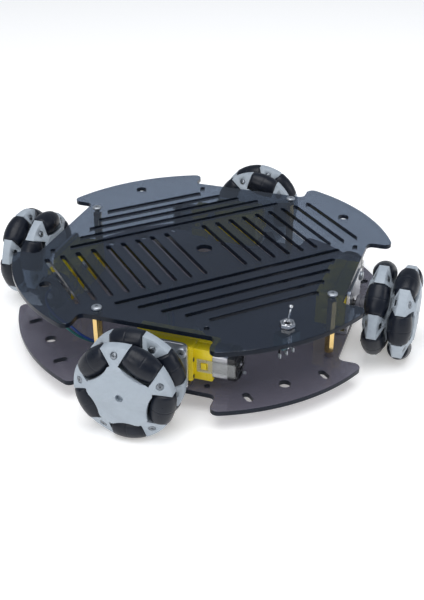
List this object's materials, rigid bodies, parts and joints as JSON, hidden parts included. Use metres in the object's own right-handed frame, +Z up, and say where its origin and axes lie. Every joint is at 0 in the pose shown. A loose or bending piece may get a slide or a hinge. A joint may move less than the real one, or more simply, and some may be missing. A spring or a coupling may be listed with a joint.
{
  "type": "four wheel robot chassis",
  "caption": "Round two-deck robot chassis of slotted smoked acrylic with a gear motor and a double-row omni wheel in each of its notches, and a toggle switch.",
  "frame": {"origin": "on the floor under the middle of the decks, at the bottom centre of the bounding box", "axes": "+Z up, -Y the front, where the toggle switch is, and +X to the right seen from the front"},
  "size_m": [0.2378, 0.2378, 0.0648],
  "materials": {
    "deck_acrylic": "smoked transparent cast acrylic, polished faces, laser cut edges",
    "wheel_plastic": "moulded white plastic with a fine eroded grain",
    "roller_rubber": "smooth moulded rubber with a parting line",
    "motor_yellow": "moulded yellow plastic",
    "motor_black": "moulded black plastic",
    "motor_can": "plated drawn steel",
    "strap_clear": "clear moulded plastic",
    "bracket_aluminium": "satin",
    "standoff_brass": "turned",
    "screw_steel": "nickel plated",
    "switch_metal": "chrome plated",
    "wire_blue": "wire insulation",
    "wire_green": "wire insulation"
  },
  "bodies": {
    "root": {"top_plate": "deck_acrylic", "bottom_plate": "deck_acrylic", "standoff_front_left": "standoff_brass", "standoff_front_right": "standoff_brass", "standoff_back_right": "standoff_brass", "standoff_back_left": "standoff_brass", "motor_bracket_front_left": "bracket_aluminium", "motor_bracket_front_right": "bracket_aluminium", "motor_bracket_back_right": "bracket_aluminium", "motor_bracket_back_left": "bracket_aluminium", "gear_motor_front_left": "motor_yellow", "gear_motor_front_right": "motor_yellow", "gear_motor_back_right": "motor_yellow", "gear_motor_back_left": "motor_yellow", "switch_body": "switch_metal"},
    "toggle": {"switch_lever": "switch_metal"},
    "wheel_front_left": {"wheel_hub_front_left": "wheel_plastic"},
    "roller_front_left_outer_1": {"roller_front_left_outer_1": "roller_rubber"},
    "roller_front_left_outer_2": {"roller_front_left_outer_2": "roller_rubber"},
    "roller_front_left_outer_3": {"roller_front_left_outer_3": "roller_rubber"},
    "roller_front_left_outer_4": {"roller_front_left_outer_4": "roller_rubber"},
    "roller_front_left_outer_5": {"roller_front_left_outer_5": "roller_rubber"},
    "roller_front_left_inner_1": {"roller_front_left_inner_1": "roller_rubber"},
    "roller_front_left_inner_2": {"roller_front_left_inner_2": "roller_rubber"},
    "roller_front_left_inner_3": {"roller_front_left_inner_3": "roller_rubber"},
    "roller_front_left_inner_4": {"roller_front_left_inner_4": "roller_rubber"},
    "roller_front_left_inner_5": {"roller_front_left_inner_5": "roller_rubber"},
    "wheel_front_right": {"wheel_hub_front_right": "wheel_plastic"},
    "roller_front_right_outer_1": {"roller_front_right_outer_1": "roller_rubber"},
    "roller_front_right_outer_2": {"roller_front_right_outer_2": "roller_rubber"},
    "roller_front_right_outer_3": {"roller_front_right_outer_3": "roller_rubber"},
    "roller_front_right_outer_4": {"roller_front_right_outer_4": "roller_rubber"},
    "roller_front_right_outer_5": {"roller_front_right_outer_5": "roller_rubber"},
    "roller_front_right_inner_1": {"roller_front_right_inner_1": "roller_rubber"},
    "roller_front_right_inner_2": {"roller_front_right_inner_2": "roller_rubber"},
    "roller_front_right_inner_3": {"roller_front_right_inner_3": "roller_rubber"},
    "roller_front_right_inner_4": {"roller_front_right_inner_4": "roller_rubber"},
    "roller_front_right_inner_5": {"roller_front_right_inner_5": "roller_rubber"},
    "wheel_back_right": {"wheel_hub_back_right": "wheel_plastic"},
    "roller_back_right_outer_1": {"roller_back_right_outer_1": "roller_rubber"},
    "roller_back_right_outer_2": {"roller_back_right_outer_2": "roller_rubber"},
    "roller_back_right_outer_3": {"roller_back_right_outer_3": "roller_rubber"},
    "roller_back_right_outer_4": {"roller_back_right_outer_4": "roller_rubber"},
    "roller_back_right_outer_5": {"roller_back_right_outer_5": "roller_rubber"},
    "roller_back_right_inner_1": {"roller_back_right_inner_1": "roller_rubber"},
    "roller_back_right_inner_2": {"roller_back_right_inner_2": "roller_rubber"},
    "roller_back_right_inner_3": {"roller_back_right_inner_3": "roller_rubber"},
    "roller_back_right_inner_4": {"roller_back_right_inner_4": "roller_rubber"},
    "roller_back_right_inner_5": {"roller_back_right_inner_5": "roller_rubber"},
    "wheel_back_left": {"wheel_hub_back_left": "wheel_plastic"},
    "roller_back_left_outer_1": {"roller_back_left_outer_1": "roller_rubber"},
    "roller_back_left_outer_2": {"roller_back_left_outer_2": "roller_rubber"},
    "roller_back_left_outer_3": {"roller_back_left_outer_3": "roller_rubber"},
    "roller_back_left_outer_4": {"roller_back_left_outer_4": "roller_rubber"},
    "roller_back_left_outer_5": {"roller_back_left_outer_5": "roller_rubber"},
    "roller_back_left_inner_1": {"roller_back_left_inner_1": "roller_rubber"},
    "roller_back_left_inner_2": {"roller_back_left_inner_2": "roller_rubber"},
    "roller_back_left_inner_3": {"roller_back_left_inner_3": "roller_rubber"},
    "roller_back_left_inner_4": {"roller_back_left_inner_4": "roller_rubber"},
    "roller_back_left_inner_5": {"roller_back_left_inner_5": "roller_rubber"}
  },
  "joints": [
    {"name": "wheel_spin_front_left", "type": "hinge", "parent": "root", "child": "wheel_front_left", "pos_m": [-0.08485, -0.08485, 0.029], "axis": [-0.7071, -0.7071, 0], "continuous": true},
    {"name": "roller_spin_front_left_outer_1", "type": "hinge", "parent": "wheel_front_left", "child": "roller_front_left_outer_1", "pos_m": [-0.0827, -0.09761, 0.04802], "axis": [-0.6184, 0.6184, 0.4848], "continuous": true},
    {"name": "roller_spin_front_left_outer_2", "type": "hinge", "parent": "wheel_front_left", "child": "roller_front_left_outer_2", "pos_m": [-0.10064, -0.07967, 0.04491], "axis": [-0.5171, 0.5171, -0.682], "continuous": true},
    {"name": "roller_spin_front_left_outer_3", "type": "hinge", "parent": "wheel_front_left", "child": "roller_front_left_outer_3", "pos_m": [-0.10409, -0.07622, 0.01981], "axis": [0.2988, -0.2988, -0.9063], "continuous": true},
    {"name": "roller_spin_front_left_outer_4", "type": "hinge", "parent": "wheel_front_left", "child": "roller_front_left_outer_4", "pos_m": [-0.08828, -0.09203, 0.00741], "axis": [0.7018, -0.7018, 0.1219], "continuous": true},
    {"name": "roller_spin_front_left_outer_5", "type": "hinge", "parent": "wheel_front_left", "child": "roller_front_left_outer_5", "pos_m": [-0.07506, -0.10525, 0.02485], "axis": [0.1349, -0.1349, 0.9816], "continuous": true},
    {"name": "roller_spin_front_left_inner_1", "type": "hinge", "parent": "wheel_front_left", "child": "roller_front_left_inner_1", "pos_m": [-0.08142, -0.07767, 0.05059], "axis": [-0.7018, 0.7018, -0.1219], "continuous": true},
    {"name": "roller_spin_front_left_inner_2", "type": "hinge", "parent": "wheel_front_left", "child": "roller_front_left_inner_2", "pos_m": [-0.09465, -0.06445, 0.03315], "axis": [-0.1349, 0.1349, -0.9816], "continuous": true},
    {"name": "roller_spin_front_left_inner_3", "type": "hinge", "parent": "wheel_front_left", "child": "roller_front_left_inner_3", "pos_m": [-0.08701, -0.07209, 0.00998], "axis": [0.6184, -0.6184, -0.4848], "continuous": true},
    {"name": "roller_spin_front_left_inner_4", "type": "hinge", "parent": "wheel_front_left", "child": "roller_front_left_inner_4", "pos_m": [-0.06906, -0.09004, 0.01309], "axis": [0.5171, -0.5171, 0.682], "continuous": true},
    {"name": "roller_spin_front_left_inner_5", "type": "hinge", "parent": "wheel_front_left", "child": "roller_front_left_inner_5", "pos_m": [-0.06561, -0.09349, 0.03819], "axis": [-0.2988, 0.2988, 0.9063], "continuous": true},
    {"name": "wheel_spin_front_right", "type": "hinge", "parent": "root", "child": "wheel_front_right", "pos_m": [0.08485, -0.08485, 0.029], "axis": [0.7071, -0.7071, 0], "continuous": true},
    {"name": "roller_spin_front_right_outer_1", "type": "hinge", "parent": "wheel_front_right", "child": "roller_front_right_outer_1", "pos_m": [0.10334, -0.07697, 0.0402], "axis": [-0.3642, -0.3642, 0.8572], "continuous": true},
    {"name": "roller_spin_front_right_outer_2", "type": "hinge", "parent": "wheel_front_right", "child": "roller_front_right_outer_2", "pos_m": [0.0867, -0.09362, 0.05019], "axis": [-0.689, -0.689, -0.225], "continuous": true},
    {"name": "roller_spin_front_right_outer_3", "type": "hinge", "parent": "wheel_front_right", "child": "roller_front_right_outer_3", "pos_m": [0.07483, -0.10548, 0.0309], "axis": [-0.0616, -0.0616, -0.9962], "continuous": true},
    {"name": "roller_spin_front_right_outer_4", "type": "hinge", "parent": "wheel_front_right", "child": "roller_front_right_outer_4", "pos_m": [0.08415, -0.09617, 0.00898], "axis": [0.6509, 0.6509, -0.3907], "continuous": true},
    {"name": "roller_spin_front_right_outer_5", "type": "hinge", "parent": "wheel_front_right", "child": "roller_front_right_outer_5", "pos_m": [0.10176, -0.07855, 0.01473], "axis": [0.4639, 0.4639, 0.7547], "continuous": true},
    {"name": "roller_spin_front_right_inner_1", "type": "hinge", "parent": "wheel_front_right", "child": "roller_front_right_inner_1", "pos_m": [0.08556, -0.07354, 0.04902], "axis": [-0.6509, -0.6509, 0.3907], "continuous": true},
    {"name": "roller_spin_front_right_inner_2", "type": "hinge", "parent": "wheel_front_right", "child": "roller_front_right_inner_2", "pos_m": [0.06794, -0.09116, 0.04327], "axis": [-0.4639, -0.4639, -0.7547], "continuous": true},
    {"name": "roller_spin_front_right_inner_3", "type": "hinge", "parent": "wheel_front_right", "child": "roller_front_right_inner_3", "pos_m": [0.06637, -0.09273, 0.0178], "axis": [0.3642, 0.3642, -0.8572], "continuous": true},
    {"name": "roller_spin_front_right_inner_4", "type": "hinge", "parent": "wheel_front_right", "child": "roller_front_right_inner_4", "pos_m": [0.08301, -0.07609, 0.00781], "axis": [0.689, 0.689, 0.225], "continuous": true},
    {"name": "roller_spin_front_right_inner_5", "type": "hinge", "parent": "wheel_front_right", "child": "roller_front_right_inner_5", "pos_m": [0.09487, -0.06423, 0.0271], "axis": [0.0616, 0.0616, 0.9962], "continuous": true},
    {"name": "wheel_spin_back_right", "type": "hinge", "parent": "root", "child": "wheel_back_right", "pos_m": [0.08485, 0.08485, 0.029], "axis": [0.7071, 0.7071, 0], "continuous": true},
    {"name": "roller_spin_back_right_outer_1", "type": "hinge", "parent": "wheel_back_right", "child": "roller_back_right_outer_1", "pos_m": [0.08477, 0.09554, 0.04937], "axis": [0.6623, -0.6623, 0.3502], "continuous": true},
    {"name": "roller_spin_back_right_outer_2", "type": "hinge", "parent": "wheel_back_right", "child": "roller_back_right_outer_2", "pos_m": [0.10219, 0.07812, 0.04254], "axis": [0.4402, -0.4402, -0.7826], "continuous": true},
    {"name": "roller_spin_back_right_outer_3", "type": "hinge", "parent": "wheel_back_right", "child": "roller_back_right_outer_3", "pos_m": [0.10298, 0.07733, 0.01699], "axis": [-0.3903, 0.3903, -0.8339], "continuous": true},
    {"name": "roller_spin_back_right_outer_4", "type": "hinge", "parent": "wheel_back_right", "child": "roller_back_right_outer_4", "pos_m": [0.08605, 0.09427, 0.00804], "axis": [-0.6814, 0.6814, 0.2672], "continuous": true},
    {"name": "roller_spin_back_right_outer_5", "type": "hinge", "parent": "wheel_back_right", "child": "roller_back_right_outer_5", "pos_m": [0.07479, 0.10552, 0.02805], "axis": [-0.0308, 0.0308, 0.999], "continuous": true},
    {"name": "roller_spin_back_right_inner_1", "type": "hinge", "parent": "wheel_back_right", "child": "roller_back_right_inner_1", "pos_m": [0.08366, 0.07544, 0.04996], "axis": [0.6814, -0.6814, -0.2672], "continuous": true},
    {"name": "roller_spin_back_right_inner_2", "type": "hinge", "parent": "wheel_back_right", "child": "roller_back_right_inner_2", "pos_m": [0.09491, 0.06419, 0.02995], "axis": [0.0308, -0.0308, -0.999], "continuous": true},
    {"name": "roller_spin_back_right_inner_3", "type": "hinge", "parent": "wheel_back_right", "child": "roller_back_right_inner_3", "pos_m": [0.08494, 0.07416, 0.00863], "axis": [-0.6623, 0.6623, -0.3502], "continuous": true},
    {"name": "roller_spin_back_right_inner_4", "type": "hinge", "parent": "wheel_back_right", "child": "roller_back_right_inner_4", "pos_m": [0.06751, 0.09159, 0.01546], "axis": [-0.4402, 0.4402, 0.7826], "continuous": true},
    {"name": "roller_spin_back_right_inner_5", "type": "hinge", "parent": "wheel_back_right", "child": "roller_back_right_inner_5", "pos_m": [0.06673, 0.09237, 0.041], "axis": [0.3903, -0.3903, 0.8339], "continuous": true},
    {"name": "wheel_spin_back_left", "type": "hinge", "parent": "root", "child": "wheel_back_left", "pos_m": [-0.08485, 0.08485, 0.029], "axis": [-0.7071, 0.7071, 0], "continuous": true},
    {"name": "roller_spin_back_left_outer_1", "type": "hinge", "parent": "wheel_back_left", "child": "roller_back_left_outer_1", "pos_m": [-0.09785, 0.08247, 0.04784], "axis": [0.6124, 0.6124, 0.5], "continuous": true},
    {"name": "roller_spin_back_left_outer_2", "type": "hinge", "parent": "wheel_back_left", "child": "roller_back_left_outer_2", "pos_m": [-0.07987, 0.10045, 0.04516], "axis": [0.5255, 0.5255, -0.6691], "continuous": true},
    {"name": "roller_spin_back_left_outer_3", "type": "hinge", "parent": "wheel_back_left", "child": "roller_back_left_outer_3", "pos_m": [-0.07611, 0.10421, 0.02015], "axis": [-0.2876, -0.2876, -0.9135], "continuous": true},
    {"name": "roller_spin_back_left_outer_4", "type": "hinge", "parent": "wheel_back_left", "child": "roller_back_left_outer_4", "pos_m": [-0.09176, 0.08855, 0.00737], "axis": [-0.7032, -0.7032, 0.1045], "continuous": true},
    {"name": "roller_spin_back_left_outer_5", "type": "hinge", "parent": "wheel_back_left", "child": "roller_back_left_outer_5", "pos_m": [-0.1052, 0.07511, 0.02448], "axis": [-0.147, -0.147, 0.9781], "continuous": true},
    {"name": "roller_spin_back_left_inner_1", "type": "hinge", "parent": "wheel_back_left", "child": "roller_back_left_inner_1", "pos_m": [-0.07794, 0.08116, 0.05063], "axis": [0.7032, 0.7032, -0.1045], "continuous": true},
    {"name": "roller_spin_back_left_inner_2", "type": "hinge", "parent": "wheel_back_left", "child": "roller_back_left_inner_2", "pos_m": [-0.06451, 0.09459, 0.03352], "axis": [0.147, 0.147, -0.9781], "continuous": true},
    {"name": "roller_spin_back_left_inner_3", "type": "hinge", "parent": "wheel_back_left", "child": "roller_back_left_inner_3", "pos_m": [-0.07186, 0.08724, 0.01016], "axis": [-0.6124, -0.6124, -0.5], "continuous": true},
    {"name": "roller_spin_back_left_inner_4", "type": "hinge", "parent": "wheel_back_left", "child": "roller_back_left_inner_4", "pos_m": [-0.08984, 0.06926, 0.01284], "axis": [-0.5255, -0.5255, 0.6691], "continuous": true},
    {"name": "roller_spin_back_left_inner_5", "type": "hinge", "parent": "wheel_back_left", "child": "roller_back_left_inner_5", "pos_m": [-0.0936, 0.0655, 0.03785], "axis": [0.2876, 0.2876, 0.9135], "continuous": true},
    {"name": "toggle_throw", "type": "hinge", "parent": "root", "child": "toggle", "pos_m": [0, -0.1035, 0.0535], "axis": [0, 1, 0], "range_deg": [-20, 0]}
  ]
}
